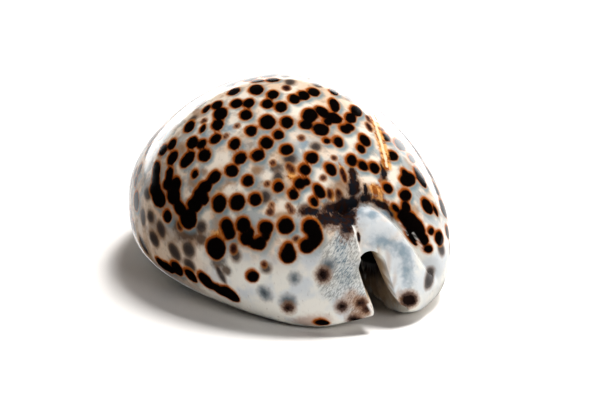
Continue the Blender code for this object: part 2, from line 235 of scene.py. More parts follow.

# Painted highlights, as white lines: the lobe's edge, and the two slivers of light on the crease, each
# with how many millimetres it is thinned by
HIGHLIGHT_LINES = (
    (0.0, ((353, 227), (356, 238), (359, 250), (362, 262), (366, 277), (371, 291), (375, 303), (375, 313))),
    (0.28, ((399, 222), (404, 229), (408, 235))),
    (0.22, ((413, 233), (417, 239), (421, 245), (423, 250))),
)

# The line where the two halves of the mantle met: read off the photograph, then on over the hidden side
MANTLE_SEEN = ((387, 166), (385, 156), (382, 145), (378, 132), (375, 122), (371, 112), (367, 103))
MANTLE_HIDDEN = (
    (0.0170, -0.0070, 0.0354), (0.0174, 0.0000, 0.0345), (0.0158, 0.0100, 0.0335), (0.0140, 0.0200, 0.0305),
    (0.0108, 0.0280, 0.0255), (0.0078, 0.0355, 0.0185), (0.0035, 0.0410, 0.0110),
)

# Soft patches read in the same way
PATCHES = {
    "orange": (
        # (379, 200.5) lies along the crease above the collar, where its dark orange is partly painted shade
        (377, 190, 6, 12, 70), (379, 200.5, 14, 4, -18), (385, 163, 6, 5), (343, 172, 11, 2.4, -70),
        (381, 178, 7, 3, 85), (332, 195, 8, 3, -78), (292, 176, 6, 5), (220, 236, 8, 8),
        (320, 205, 7, 4, -50),
    ),
    "cream": (
        (215, 160, 13, 9, 35), (371, 178, 9, 7), (303, 200, 16, 5, 45), (325, 180, 12, 4, 60),
        (345, 150, 10, 7, -30), (350, 140, 7, 7), (296, 111, 11, 6), (222, 158, 10, 9), (283, 205, 9, 7),
        (206, 215, 6, 10), (393, 178, 6, 12), (228, 190, 9, 4, 40), (316, 176, 9, 7), (268, 176, 9, 6),
        (292, 196, 8, 8), (392, 165, 9, 6), (244, 96, 9, 6),
    ),
    "stain": (
        (198, 112, 8, 6), (180, 150, 8, 6, 60), (172, 172, 6, 12), (196, 182, 9, 7), (188, 232, 14, 8),
        (176, 218, 6, 8), (238, 238, 9, 12), (292, 172, 8, 8), (284, 216, 12, 6), (340, 190, 10, 12),
        (322, 212, 14, 5), (232, 182, 7, 6), (256, 170, 6, 6), (340, 178, 8, 6), (196, 240, 10, 8),
        # (383, 206) lies along the same crease, where its brown is partly painted shade
        (204, 172, 6, 5), (383, 206, 12, 4, -30), (414, 212, 6, 8),
    ),
    "blue": (
        (303, 144, 6, 8), (340, 256, 9, 14), (256, 150, 5, 4), (230, 128, 6, 5), (205, 135, 6, 4),
        (386, 243, 15, 8, -12), (401, 250, 12, 10, -30), (407, 270, 8, 22, 4), (356, 211, 11, 6),
        (384, 213, 9, 4, -20), (372, 214, 9, 5), (220, 141, 8, 6), (268, 132, 8, 7), (292, 156, 8, 7),
        (238, 150, 6, 8), (342, 244, 9, 12), (346, 272, 10, 14), (194, 156, 6, 6),
    ),
    "smear": (
        (188, 235, 14, 8, 10), (201, 239, 7, 8), (218, 262, 9, 9), (226, 270, 8, 5, -50), (178, 226, 8, 8),
        (300, 188, 12, 5, 40), (330, 206, 10, 6), (276, 168, 8, 6),
    ),
    "lilac": (
        (366, 215, 26, 15), (380, 230, 24, 17), (398, 258, 18, 28), (398, 285, 16, 16), (430, 276, 10, 22),
    ),
    "pink": (
        (362, 308, 13, 13), (352, 298, 10, 9), (312, 322, 22, 7),
    ),
    "lobe": (
        (340, 258, 20, 26), (350, 240, 12, 12), (354, 278, 15, 18), (334, 284, 16, 18), (358, 298, 12, 12),
        (362, 308, 14, 11),
    ),
    # Murk over the rear canal: partly the shell's dark colour, partly painted shade in the pit, the crease
    # and the lobe's step
    "murk_and_crease_shade": (
        (325, 219, 11, 8), (337, 219, 10, 9), (347, 221, 9, 10), (343, 206, 10, 10), (354, 187, 6.5, 12),
        (353, 174, 4, 11, 10), (365, 198, 7, 5), (382, 205, 13, 3.4, -25), (393, 213, 9, 4, -48),
        (310, 211, 12, 5), (365.5, 190, 2, 8), (383.5, 172, 3.4, 10, 8), (352, 202, 8, 7), (333, 208, 8, 6),
        (358.5, 237, 1.6, 6, 8),
    ),
}

# Steps between two places of the mantle line
LINE_STEPS = 6

# How close spots run together, and how far from a spot or a line its field is worked out, in metres
MERGE = 0.00018
FIELD_FAR = 0.0060
MILLIMETRES = 1000.0

# Which way the blue-grey shade round a spot, and its orange rim, lie from it
SHADE_SHIFT = (0.0002, -0.0006, -0.0004)
RIM_SHIFT = (-0.0001, 0.0002, 0.00015)

# Where the base is pale, the flanks are greyer and the front's sides are browner, in metres over the floor
# and towards the rear
PALE_TOP = (0.001, 0.006)
MILKY_TOP = (0.010, 0.018)
MILKY_REAR_RISE = 0.004
MILKY_REAR = (0.022, 0.038)
MILKY_FROM = (0.005, 0.030)
FLANK_BAND = (0.008, 0.016, 0.030, 0.038)
LOW_TOP = (0.010, 0.020)
LOW_UNTIL = (0.005, 0.025)

# Spots on the sides that the photograph doesn't show: how many places are tried, their radii, the gaps
# between them, how low and how far to the rear they go, and the cosine of the view at which they start
HIDDEN_SEED = 11
HIDDEN_TRIES = 5000
HIDDEN_RADIUS = (0.0008, 0.0018)
HIDDEN_GAP = 0.0008
HIDDEN_GAP_SHARE = (-0.4, 1.0)
HIDDEN_LOWEST = 0.0075
HIDDEN_REARMOST = -0.0330
HIDDEN_EDGE = 0.27

# The steepest view of the surface, as a cosine, at which a spot's reading is still trusted
STEEPEST = 0.30

# A round spot's axes lie square to the surface's normal and to this
ASLANT = (0.3, 0.9, 0.1)


def bernstein(t, values):
    """A smooth curve of t from 0 to 1 through a few control values."""
    n = len(values) - 1
    return sum(comb(n, i) * t**i * (1.0 - t) ** (n - i) * c for i, c in enumerate(values))


def ramp(x, low, high):
    """0 below low, 1 above high, smooth between."""
    t = np.clip((x - low) / (high - low), 0.0, 1.0)
    return t * t * (3.0 - 2.0 * t)


def bell(x, width):
    return np.exp(-((x / width) ** 2))


def unit(vectors):
    return vectors / np.maximum(np.linalg.norm(vectors, axis=-1, keepdims=True), 1e-15)


def ovoid(theta, phi, form):
    """theta runs from the rear pole to the front one, phi from the base up the left side and over."""
    t = 0.5 * (1.0 - np.cos(theta))
    swell = np.sqrt(np.clip(t * (1.0 - t), 0.0, None))
    left = swell * bernstein(t, form["left"])
    right = swell * bernstein(t, form["right"])
    top = swell * bernstein(t, form["top"])
    waist = bernstein(t, form["waist"])
    rear, front = form["curl"]
    rear_curl = np.clip(1.0 - t / rear, 0.0, 1.0) ** 3
    front_curl = np.clip(1.0 - (1.0 - t) / front, 0.0, 1.0) ** 3
    low = (waist - form["floor"]) * np.sqrt((1.0 - rear_curl) * (1.0 - front_curl))
    across = -np.sin(phi)
    upward = -np.cos(phi)
    side = across * (1.5 - 0.5 * across**2)
    over = upward * (1.5 - 0.5 * upward**2)
    breadth = np.maximum((left + right) / 2 + (right - left) / 2 * side, 1e-9)
    height = np.maximum((top + low) / 2 + (top - low) / 2 * over, 1e-9)
    upper, lower = form["power"]
    power = (upper + lower) / 2 + (upper - lower) / 2 * over
    radius = ((np.abs(across) / breadth) ** power + (np.abs(upward) / height) ** power) ** (-1.0 / power)
    first, last = form["ends"]
    x = bernstein(t, form["shift"]) + radius * across
    y = first + (last - first) * t + 0.0 * radius
    z = waist + radius * upward
    return np.stack([x, y, z], axis=-1)


def facing(theta, phi, form):
    """The outward direction of the ovoid."""
    h = 1e-4
    along = ovoid(theta + h, phi, form) - ovoid(theta - h, phi, form)
    around = ovoid(theta, phi + h, form) - ovoid(theta, phi - h, form)
    return unit(np.cross(around, along))


def fade_in_out(x, low, full, high, gone):
    """0 below low, 1 from full to high, 0 above gone."""
    return ramp(x, low, full) * (1.0 - ramp(x, high, gone))


def canal_distance(p, canal):
    """Seen from the end: how far a point is outside the canal's edge."""
    flare = CANAL_FLARE * (1.0 - ramp(p[..., 2], 0.0, FLARE_HEIGHT))
    aside = np.maximum(np.abs(p[..., 0] - canal["x"]) - flare, 0.0)
    rise = np.maximum(p[..., 2] - (canal["top"] - canal["half"]), 0.0)
    return np.hypot(aside, rise) - canal["half"]


def mouth_x(y):
    return bernstein(np.clip(y / LENGTH + 0.5, 0.0, 1.0), MOUTH_LINE)


def halve(test, shape, reach):
    """Bisection on arrays: test is true on the low side of reach."""
    low, high = np.full(shape, reach[0]), np.full(shape, reach[1])
    for _ in range(HALVINGS):
        mid = (low + high) / 2
        inside = test(mid)
        low = np.where(inside, mid, low)
        high = np.where(inside, high, mid)
    return (low + high) / 2


def grid_angles(u, v, form, rear, front, lip):
    """Angles of a grid round the mouth: u from left lip to right lip, v from rear to front, 0 to 1."""
    line = MOUTH_CORNER + (2 * pi - 2 * MOUTH_CORNER) * u
    flare = CANAL_FLARE * (1.0 - ramp(form["floor"], 0.0, FLARE_HEIGHT))

    def in_rear(theta):
        return canal_distance(ovoid(theta, line, form), rear) < 0

    def in_front(theta):
        return canal_distance(ovoid(pi - theta, line, form), front) < 0

    def half_gap(y):
        near = ramp(-y, *REAR_SPAN)
        far = ramp(y, *FRONT_SPAN)
        return lip + (rear["half"] + flare - lip) * near + (front["half"] + flare - lip) * far

    def lip_angle(side, theta):
        def in_mouth(angle):
            p = ovoid(theta, angle * side, form)
            return (mouth_x(p[..., 1]) - p[..., 0]) * side < half_gap(p[..., 1])

        return halve(in_mouth, theta.shape, LIP_REACH)

    first = halve(in_rear, line.shape, POLE_REACH)
    last = pi - halve(in_front, line.shape, POLE_REACH)
    theta = (1 - v) * first + v * last
    left_phi = lip_angle(1, theta[:, :1])
    right_phi = 2 * pi - lip_angle(-1, theta[:, -1:])
    lips = (1 - u) * left_phi + u * right_phi
    ends = (1 - u) * MOUTH_CORNER + u * (2 * pi - MOUTH_CORNER)
    return theta, lips + line - ends


def distance_to_curve(x, z, controls):
    """Distance in the end view to a smooth curve, and the length run along it."""
    t = np.linspace(0.0, 1.0, CREASE_STEPS)
    curve_x = bernstein(t, [c[0] for c in controls])
    curve_z = bernstein(t, [c[1] for c in controls])
    gap = np.hypot(x[..., None] - curve_x, z[..., None] - curve_z)
    run = np.concatenate([[0.0], np.cumsum(np.hypot(np.diff(curve_x), np.diff(curve_z)))])
    return gap.min(axis=-1), run[gap.argmin(axis=-1)], run[-1]


def rear_relief(p):
    """Height of the rear end's collar, crease, pit and lobe edge over the plain ovoid."""
    x, z = p[..., 0], p[..., 2]
    rear = ramp(-p[..., 1], *END_ONLY)
    gap, run, total = distance_to_curve(x, z, CREASE)
    held = 1.0 - ramp(run, total - CREASE_FADE[1], total - CREASE_FADE[0])
    crease = -CREASE_DEPTH * bell(gap, CREASE_WIDTH) * held
    ring = canal_distance(p, REAR_CANAL)
    right = ramp(x, SUTURE_X, SUTURE_X + COLLAR_FADE)
    collar = COLLAR_RISE * bell(ring - COLLAR_RING, COLLAR_WIDTH) * right
    pit = -PIT_DEPTH * bell(np.hypot((x - PIT[0]) / PIT_SIZE[0], (z - PIT[1]) / PIT_SIZE[1]), 1.0)
    edge = ramp(SUTURE_X - x, -SUTURE_WIDTH, SUTURE_WIDTH) * (1.0 - ramp(SUTURE_X - x, 0.0, LOBE_FADE))
    lobe = SUTURE_STEP * edge * fade_in_out(z, *SUTURE_BAND)
    return (crease + collar + pit + lobe) * rear


def outside(u, v):
    """The outer surface, with its ends set back over the canals and its base flat where it rests."""
    theta, phi = grid_angles(u, v, OUTSIDE, REAR_CANAL, FRONT_CANAL, LIP_HALF)
    p = ovoid(theta, phi, OUTSIDE)
    n = facing(theta, phi, OUTSIDE)
    y, z = p[..., 1], p[..., 2]
    rear_ring = np.maximum(canal_distance(p, REAR_CANAL), 0.0)
    front_ring = np.maximum(canal_distance(p, FRONT_CANAL), 0.0)
    rear_back = ARCH_SETBACK * bell(rear_ring, ARCH_SETBACK_WIDTH) * ramp(z, *ARCH_SETBACK_RISE)
    front_back = FRONT_SETBACK * bell(front_ring, FRONT_SETBACK_WIDTH) * ramp(z, *FRONT_SETBACK_RISE)
    set_back = rear_back * ramp(-y, *END_ONLY) - front_back * ramp(y, *END_ONLY)
    relief = rear_relief(p)
    from_lip = np.abs(p[..., 0] - mouth_x(y)) - LIP_HALF
    lift = LIP_RISE * bell(np.maximum(from_lip, 0.0), LIP_RISE_WIDTH) * (1.0 - ramp(z, *LIP_RISE_FADE))
    p = p + n * relief[..., None]
    p[..., 1] += set_back
    p[..., 2] = np.maximum(p[..., 2] + lift, 0.0)
    return p


def inside(u, v):
    theta, phi = grid_angles(u, v, HOLLOW, REAR_CANAL_IN, FRONT_CANAL_IN, LIP_HALF_IN)
    return ovoid(theta, phi, HOLLOW)


def around(grid):
    """The grid's border, rear end first, then the right lip, the front end and the left lip."""
    return np.concatenate([grid[0, :-1], grid[:-1, -1], grid[-1, :0:-1], grid[:0:-1, 0]])


def outward_at_border(surface, u, v):
    """Direction in which a surface runs on past its border, round the mouth."""
    near = np.array([0.0, EDGE_STEP, 1.0 - EDGE_STEP, 1.0])
    ends = surface(u, near[:, None])
    sides = surface(near[None, :], v)
    out = np.zeros((v.size, u.size, 3))
    out[0] = unit(ends[0] - ends[1])
    out[-1] = unit(ends[3] - ends[2])
    out[:, 0] += unit(sides[:, 0] - sides[:, 1])
    out[:, -1] += unit(sides[:, 3] - sides[:, 2])
    return unit(around(out))


def lips(u, v, outer, inner, rings):
    """Rounded strips from the outer border to the inner one, as rings of points, with their teeth."""
    start, stop = around(outer), around(inner)
    leave = outward_at_border(outside, u, v)
    arrive = outward_at_border(inside, u, v)
    back = unit(start - stop)
    arrive = unit(INNER_TURN * arrive + back)
    canal = np.maximum(ramp(-start[:, 1], *REAR_SPAN), ramp(start[:, 1], *FRONT_SPAN))[:, None]
    swell = LIP_ROUND + (CANAL_ROUND - LIP_ROUND) * canal
    depth = LIP_DEPTH + (CANAL_DEPTH - LIP_DEPTH) * canal
    w = np.linspace(0.0, 1.0, rings)[:, None, None]
    p = (1 - w) ** 3 * start + 3 * w * (1 - w) ** 2 * (start + leave * swell)
    p = p + 3 * w**2 * (1 - w) * (stop + arrive * depth) + w**3 * stop
    return p + teeth(p, u, v, w)


def teeth(p, u, v, w):
    """Ridges across both lips, finer at the rear canal's right side."""
    along = np.broadcast_to(v, (v.size, u.size))
    across = np.broadcast_to(u, (v.size, u.size))
    run, side = around(along), around(across)
    on_lip = ((side == 0.0) | (side == 1.0)) & (run > 0.0) & (run < 1.0)
    wave = 0.5 - 0.5 * np.cos(2 * pi * TOOTH_COUNT * run)
    fade = np.where(side == 0.0, fade_in_out(run, *LEFT_TEETH), fade_in_out(run, *RIGHT_TEETH))
    height = TOOTH_HEIGHT * wave * fade * on_lip
    share = (side - CANAL_TEETH_FROM) / (1.0 - CANAL_TEETH_FROM)
    fine = 0.5 - 0.5 * np.cos(2 * pi * CANAL_TOOTH_COUNT * share)
    height = height + CANAL_TOOTH_HEIGHT * fine * ((run == 0.0) & (share > 0.0))
    shape = fade_in_out(w, *TOOTH_SPAN)
    run_on = np.roll(p, -1, axis=1) - np.roll(p, 1, axis=1)
    run_in = np.gradient(p, axis=0)
    return unit(np.cross(run_in, run_on)) * (height[None, :, None] * shape)


def grid_faces(index):
    a, b, c, d = index[:-1, :-1], index[:-1, 1:], index[1:, 1:], index[1:, :-1]
    return np.stack([a, b, c, d], axis=-1).reshape(-1, 4).tolist()


# The camera, and what it sees of the shell


def camera_axes():
    """Place, right, up and forward directions of the camera."""
    level = cos(CAMERA_RISE)
    back = Vector((sin(CAMERA_TURN) * level, -cos(CAMERA_TURN) * level, sin(CAMERA_RISE)))
    right = Vector((cos(CAMERA_TURN), sin(CAMERA_TURN), 0.0))
    return CAMERA_AIM + back * CAMERA_DISTANCE, right, back.cross(right), -back


def add_object(name, data):
    made = bpy.data.objects.new(name, data)
    bpy.context.scene.collection.objects.link(made)
    return made


def make_camera():
    place, _, _, forward = camera_axes()
    data = bpy.data.cameras.new("camera")
    data.lens = CAMERA_LENS
    data.sensor_width = SENSOR
    data.sensor_fit = "HORIZONTAL"
    camera = add_object("camera", data)
    camera.location = place
    camera.rotation_euler = forward.to_track_quat("-Z", "Y").to_euler()
    bpy.context.scene.camera = camera


def focal_pixels():
    return CAMERA_LENS * PHOTO_WIDTH / SENSOR


def photo_ray(x, y):
    """The line of sight through a pixel of the photograph."""
    place, right, up, forward = camera_axes()
    across = (x - PHOTO_WIDTH / 2) / focal_pixels()
    down = (y - PHOTO_HEIGHT / 2) / focal_pixels()
    return place, (forward + right * across - up * down).normalized()


def photo_place(x, y, tree, points):
    """Where a pixel of the photograph falls on the shell; past the outline, the nearest point there."""
    place, direction = photo_ray(x, y)
    hit = tree.ray_cast(place, direction)[0]
    if hit is not None:
        return np.array(hit)
    offset = points - np.array(place)
    ahead = offset @ np.array(direction)
    miss = np.linalg.norm(offset - ahead[:, None] * np.array(direction), axis=1)
    return points[miss.argmin()]


def photo_spots(readings, tree, points, normals):
    """Spots as read in the photograph, each a middle and two half-axes lying in the surface."""
    place, right, up, forward = camera_axes()
    spots = []
    for x, y, first, *rest in readings:
        middle = photo_place(x, y, tree, points)
        normal = normals[np.linalg.norm(points - middle, axis=1).argmin()]
        scale = (Vector(middle) - place).dot(forward) / focal_pixels()
        if not rest:
            spots += round_spots([middle], [first * scale], [normal])
            continue
        second, turn = (*rest, 0.0)[:2]
        sight = (Vector(middle) - place).normalized()
        slope = min(sight.dot(Vector(normal)), -STEEPEST)
        axes = []
        for half, angle in ((first, radians(turn)), (second, radians(turn + 90.0))):
            level = right * cos(angle) + up * sin(angle)
            axes.append(np.array(level - sight * (level.dot(Vector(normal)) / slope)) * half * scale)
        spots.append((middle, *axes))
    return spots


def round_spots(middles, radii, normals):
    """Round spots lying in the surface."""
    spots = []
    for middle, radius, normal in zip(middles, radii, normals):
        first = unit(np.cross(normal, ASLANT))
        spots.append((np.array(middle), first * radius, np.cross(normal, first) * radius))
    return spots


# Fields over the surface, which the enamel's colours follow


def spot_reach(gap, first, second):
    """How far out each gap lies in a spot, as a share of the way to its edge."""
    aa, bb, ab = first @ first, second @ second, first @ second
    ga, gb = gap @ first, gap @ second
    det = aa * bb - ab * ab
    along, across = (ga * bb - gb * ab) / det, (gb * aa - ga * ab) / det
    flat = along[:, None] * first + across[:, None] * second
    lift = ((gap - flat) ** 2).sum(axis=1) / np.sqrt(det)
    return np.sqrt(along**2 + across**2 + lift)


def spot_field(points, spots, shift=(0.0, 0.0, 0.0)):
    """How far each point is inside the nearest spot, in millimetres, with close spots run together."""
    total = np.zeros(len(points))
    for middle, first, second in spots:
        gap = points - (middle + shift)
        near = np.abs(gap).max(axis=1) < FIELD_FAR
        gap = gap[near]
        share = np.maximum(spot_reach(gap, first, second), 1e-3)
        size = np.sqrt(np.linalg.norm(np.cross(first, second)))
        length = np.maximum(np.linalg.norm(gap, axis=1), share * size * 0.5)
        depth = length * (1.0 / share - 1.0)
        total[near] += np.exp(np.clip(depth / MERGE, -60.0, 60.0))
    field = MERGE * np.log(np.maximum(total, 1e-26))
    return np.maximum(field, -FIELD_FAR) * MILLIMETRES


def patch_field(points, patches):
    """Soft patches: 1 in the middle of each, fading out round it."""
    total = np.zeros(len(points))
    for middle, first, second in patches:
        total = np.maximum(total, np.exp(-spot_reach(points - middle, first, second) ** 2))
    return total


def smooth_line(places):
    """More places along a smooth curve through a few."""
    ends = [2 * places[0] - places[1], *places, 2 * places[-1] - places[-2]]
    line = []
    for a, b, c, d in zip(ends[:-3], ends[1:-2], ends[2:-1], ends[3:]):
        for t in np.arange(LINE_STEPS) / LINE_STEPS:
            line.append(b + 0.5 * t * (c - a + t * (2 * a - 5 * b + 4 * c - d + t * (3 * (b - c) + d - a))))
    return [*line, places[-1]]


def line_distance(points, line):
    """Distance in millimetres to a line through a few places."""
    best = np.full(len(points), FIELD_FAR)
    for a, b in zip(line[:-1], line[1:]):
        along = np.clip((points - a) @ (b - a) / ((b - a) @ (b - a)), 0.0, 1.0)
        best = np.minimum(best, np.linalg.norm(points - a - along[:, None] * (b - a), axis=1))
    return best * MILLIMETRES


def hidden_spots(points, normals, seen):
    """Seeded spots, clear of the seen ones, where the camera doesn't look."""
    random = np.random.default_rng(HIDDEN_SEED)
    place = np.array(camera_axes()[0])
    middles = [spot[0] for spot in seen]
    radii = [max(np.linalg.norm(spot[1]), np.linalg.norm(spot[2])) for spot in seen]
    chosen = []
    for _ in range(HIDDEN_TRIES):
        i = random.integers(len(points))
        radius = random.uniform(*HIDDEN_RADIUS)
        gap = HIDDEN_GAP * random.uniform(*HIDDEN_GAP_SHARE)
        in_sight = normals[i] @ unit(place - points[i]) > HIDDEN_EDGE
        if in_sight or points[i][2] < HIDDEN_LOWEST or points[i][1] < HIDDEN_REARMOST:
            continue
        clear = np.linalg.norm(np.array(middles) - points[i], axis=1) - np.array(radii) - radius
        if clear.min() > gap:
            middles.append(points[i])
            radii.append(radius)
            chosen.append(i)
    return round_spots(points[chosen], radii[len(seen):], normals[chosen])


# The mesh, with the places of its charts in the texture square

OUTER_CHART = (0.30, 0.99)
STRIP_CHARTS = ((0.20, 0.28), (0.10, 0.18))
INNER_CHART = (0.01, 0.08)
CHART_MARGIN = 0.005


def chart(span, rows, columns):
    """Places in the texture square for a grid of points."""
    x = np.linspace(CHART_MARGIN, 1.0 - CHART_MARGIN, columns)
    y = np.linspace(*span, rows)
    return np.stack(np.meshgrid(x, y), axis=-1).reshape(-1, 2)


def strip_places(corners, length):
    """Places in the texture square for a face between two rings, from each corner's step and depth."""
    half = length // 2
    second = min(step for step, depth in corners) >= half
    low, high = STRIP_CHARTS[second]
    width = (1.0 - 2.0 * CHART_MARGIN) / half
    left = CHART_MARGIN - half * second * width
    return [(left + step * width, low + (high - low) * depth) for step, depth in corners]


def ring_strip(first, second, depth, faces, places):
    """Faces between two rings of as many points each."""
    count = len(first)
    for i in range(count):
        k = (i + 1) % count
        faces.append([first[k], first[i], second[i], second[k]])
        corners = ((i + 1, depth), (i, depth), (i, depth + 1.0 / RINGS), (i + 1, depth + 1.0 / RINGS))
        places += strip_places(corners, count)


def last_strip(fine, coarse, faces, places):
    """Triangles between the last fine ring and the coarser border of the hollow."""
    count = len(fine)
    depth = 1.0 - 1.0 / RINGS
    middle = (HOLLOW_SKIP + 1) // 2
    for i, a in enumerate(coarse):
        b = coarse[(i + 1) % len(coarse)]
        at = i * HOLLOW_SKIP
        for k in range(HOLLOW_SKIP):
            tip, end = (a, at) if k < middle else (b, at + HOLLOW_SKIP)
            faces.append([fine[(at + k + 1) % count], fine[at + k], tip])
            places += strip_places(((at + k + 1, depth), (at + k, depth), (end, 1.0)), count)
        faces.append([a, b, fine[at + middle]])
        places += strip_places(((at, 1.0), (at + HOLLOW_SKIP, 1.0), (at + middle, depth)), count)


def furrows(u, v, outer):
    """How much of a furrow between two teeth each point of the outside shows."""
    x, y, z = outer[..., 0], outer[..., 1], outer[..., 2]
    share = (u - CANAL_TEETH_FROM) / (1.0 - CANAL_TEETH_FROM)
    at_canal = 1.0 - ramp(canal_distance(outer, REAR_CANAL), 0.0, CANAL_FURROW_REACH)
    at_canal = at_canal * ramp(-y, *CANAL_FURROW_FROM) * (share > 0.0)
    at_lip = 1.0 - ramp(np.abs(x - mouth_x(y)) - LIP_HALF, 0.0, LIP_FURROW_REACH)
    at_lip = at_lip * (1.0 - ramp(z, 0.0, LIP_FURROW_TOP)) * (np.abs(y) < LIP_FURROW_END)
    canal_wave = 0.5 + 0.5 * np.cos(2 * pi * CANAL_TOOTH_COUNT * share)
    lip_wave = 0.5 + 0.5 * np.cos(2 * pi * TOOTH_COUNT * v)
    return np.maximum(at_canal * canal_wave, LIP_FURROW_SHARE * at_lip * lip_wave)


def build_shell():
    """Points, faces, places in the texture square, and by point: depth into the mouth and furrows."""
    u = np.linspace(0.0, 1.0, COLUMNS + 1)[None, :]
    v = np.linspace(0.0, 1.0, ROWS + 1)[:, None]
    outer, inner = outside(u, v), inside(u, v)
    rings = lips(u, v, outer, inner, RINGS + 1)
    furrow = furrows(u, v, outer)
    outer_index = np.arange(furrow.size).reshape(furrow.shape)
    points, depths, furrowed = [outer.reshape(-1, 3)], [np.zeros(furrow.size)], [furrow.ravel()]
    faces = grid_faces(outer_index)
    places = chart(OUTER_CHART, ROWS + 1, COLUMNS + 1)[np.array(faces).ravel()].tolist()
    count = outer_index.size
    previous = around(outer_index).tolist()
    for k in range(1, RINGS):
        current = list(range(count, count + len(previous)))
        points.append(rings[k])
        depths.append(np.full(len(current), k / RINGS))
        furrowed.append(around(furrow) * (1.0 - k / RINGS))
        ring_strip(previous, current, (k - 1) / RINGS, faces, places)
        count += len(current)
        previous = current
    coarse = inner[::HOLLOW_SKIP, ::HOLLOW_SKIP]
    inner_index = count + np.arange(coarse.shape[0] * coarse.shape[1]).reshape(coarse.shape[:2])
    points.append(coarse.reshape(-1, 3))
    depths.append(np.ones(inner_index.size))
    furrowed.append(np.zeros(inner_index.size))
    inner_faces = [face[::-1] for face in grid_faces(inner_index)]
    faces += inner_faces
    places += chart(INNER_CHART, *coarse.shape[:2])[np.array(inner_faces).ravel() - count].tolist()
    last_strip(previous, around(inner_index).tolist(), faces, places)
    points = np.concatenate(points) - np.array(MIDDLE)
    return points, faces, places, np.concatenate(depths), np.concatenate(furrowed), outer_index.size


def outward(points, faces, count):
    """The outward direction at each of the first count points."""
    mesh = bpy.data.meshes.new("measure")
    mesh.from_pydata(points.tolist(), [], faces)
    mesh.update()
    normals = np.zeros(len(points) * 3)
    mesh.vertices.foreach_get("normal", normals)
    bpy.data.meshes.remove(mesh)
    return normals.reshape(-1, 3)[:count]


def add_field(mesh, name, values):
    field = mesh.attributes.new(name, "FLOAT", "POINT")
    field.data.foreach_set("value", np.asarray(values, np.float32))


# The enamel


class Nodes:
    """A small helper that adds nodes to one material and links them."""

    def __init__(self, name):
        self.material = bpy.data.materials.new(name)
        self.material.use_nodes = True
        self.tree = self.material.node_tree
        self.shader = self.tree.nodes["Principled BSDF"]

    def add(self, kind, settings=None, **inputs):
        made = self.tree.nodes.new(kind)
        for key, value in (settings or {}).items():
            setattr(made, key, value)
        for key, value in inputs.items():
            self.put(made.inputs[key], value)
        return made

    def put(self, socket, value):
        if isinstance(value, bpy.types.NodeSocket):
            self.tree.links.new(value, socket)
        elif socket.type == "RGBA":
            socket.default_value = (*value, 1.0)
        else:
            socket.default_value = value

    def field(self, name):
        return self.add("ShaderNodeAttribute", {"attribute_name": name}).outputs["Fac"]

    def math(self, operation, a, b):
        made = self.add("ShaderNodeMath", {"operation": operation})
        for socket, value in zip(made.inputs, (a, b)):
            self.put(socket, value)
        return made.outputs[0]

    def times(self, *factors):
        product = factors[0]
        for factor in factors[1:]:
            product = self.math("MULTIPLY", product, factor)
        return product

    def plus(self, a, b):
        return self.math("ADD", a, b)

    def less(self, value):
        """1 less a value."""
        return self.math("SUBTRACT", 1.0, value)

    def band(self, value, low, high, to_low=0.0, to_high=1.0):
        made = self.add("ShaderNodeMapRange", {"interpolation_type": "SMOOTHSTEP"})
        sockets = ("Value", "From Min", "From Max", "To Min", "To Max")
        for key, item in zip(sockets, (value, low, high, to_low, to_high)):
            self.put(made.inputs[key], item)
        return made.outputs["Result"]

    def mix(self, amount, a, b):
        made = self.add("ShaderNodeMix", {"data_type": "RGBA"})
        for socket, value in ((made.inputs["Factor"], amount), (made.inputs[6], a), (made.inputs[7], b)):
            self.put(socket, value)
        return made.outputs[2]

    def layer(self, depth, profile, under):
        """Lays a colour profile over what is under it, by depth inside an edge."""
        low, high = profile[0][0], profile[-1][0]
        made = self.add("ShaderNodeValToRGB")
        scaled = self.add("ShaderNodeMapRange")
        for key, item in zip(("Value", "From Min", "From Max"), (depth, low, high)):
            self.put(scaled.inputs[key], item)
        self.put(made.inputs["Fac"], scaled.outputs["Result"])
        stops = made.color_ramp.elements
        while len(stops) < len(profile):
            stops.new(0.5)
        for stop, (at, colour, cover) in zip(stops, profile):
            stop.position = (at - low) / (high - low)
            stop.color = (*colour, cover)
        return self.mix(made.outputs["Alpha"], under, made.outputs["Color"])

    def noise(self, where, size, detail=2.0, roughness=0.5):
        """Noise whose features are about size millimetres."""
        made = self.add("ShaderNodeTexNoise")
        self.put(made.inputs["Vector"], where)
        self.put(made.inputs["Scale"], 1.0 / size)
        self.put(made.inputs["Detail"], detail)
        self.put(made.inputs["Roughness"], roughness)
        return made.outputs[0]

    def mottle(self, where, size, low, high, least=0.0, most=1.0, detail=3.0):
        """Soft blotches about size millimetres across, from where the noise passes low to high."""
        return self.band(self.noise(where, size, detail), low, high, least, most)

    def swing(self, where, size, amount, detail=2.0):
        """Noise to both sides of nought."""
        return self.times(self.math("SUBTRACT", self.noise(where, size, detail), 0.5), amount)

    def turned(self, where, turn, stretch):
        """A place turned about Y, then stretched."""
        turned = self.add("ShaderNodeMapping")
        self.put(turned.inputs["Vector"], where)
        self.put(turned.inputs["Rotation"], (0.0, radians(turn), 0.0))
        stretched = self.add("ShaderNodeVectorMath", {"operation": "MULTIPLY"})
        self.put(stretched.inputs[0], turned.outputs[0])
        self.put(stretched.inputs[1], stretch)
        return stretched.outputs[0]


CREAM = (0.86, 0.77, 0.66)
PEACH = (0.74, 0.55, 0.40)
TAN = (0.44, 0.29, 0.18)
BLUE_GREY = (0.40, 0.42, 0.42)
MILK = (0.85, 0.83, 0.77)
LILAC = (0.68, 0.71, 0.73)
BLUE = (0.25, 0.33, 0.39)
SHADOW_BLUE = (0.18, 0.26, 0.29)
ORANGE = (0.34, 0.095, 0.012)
GOLD = (0.80, 0.42, 0.14)
LINE_CREAM = (0.90, 0.71, 0.48)
STAIN = (0.34, 0.17, 0.07)
SMEAR = (0.12, 0.078, 0.055)
PINK = (0.52, 0.38, 0.31)
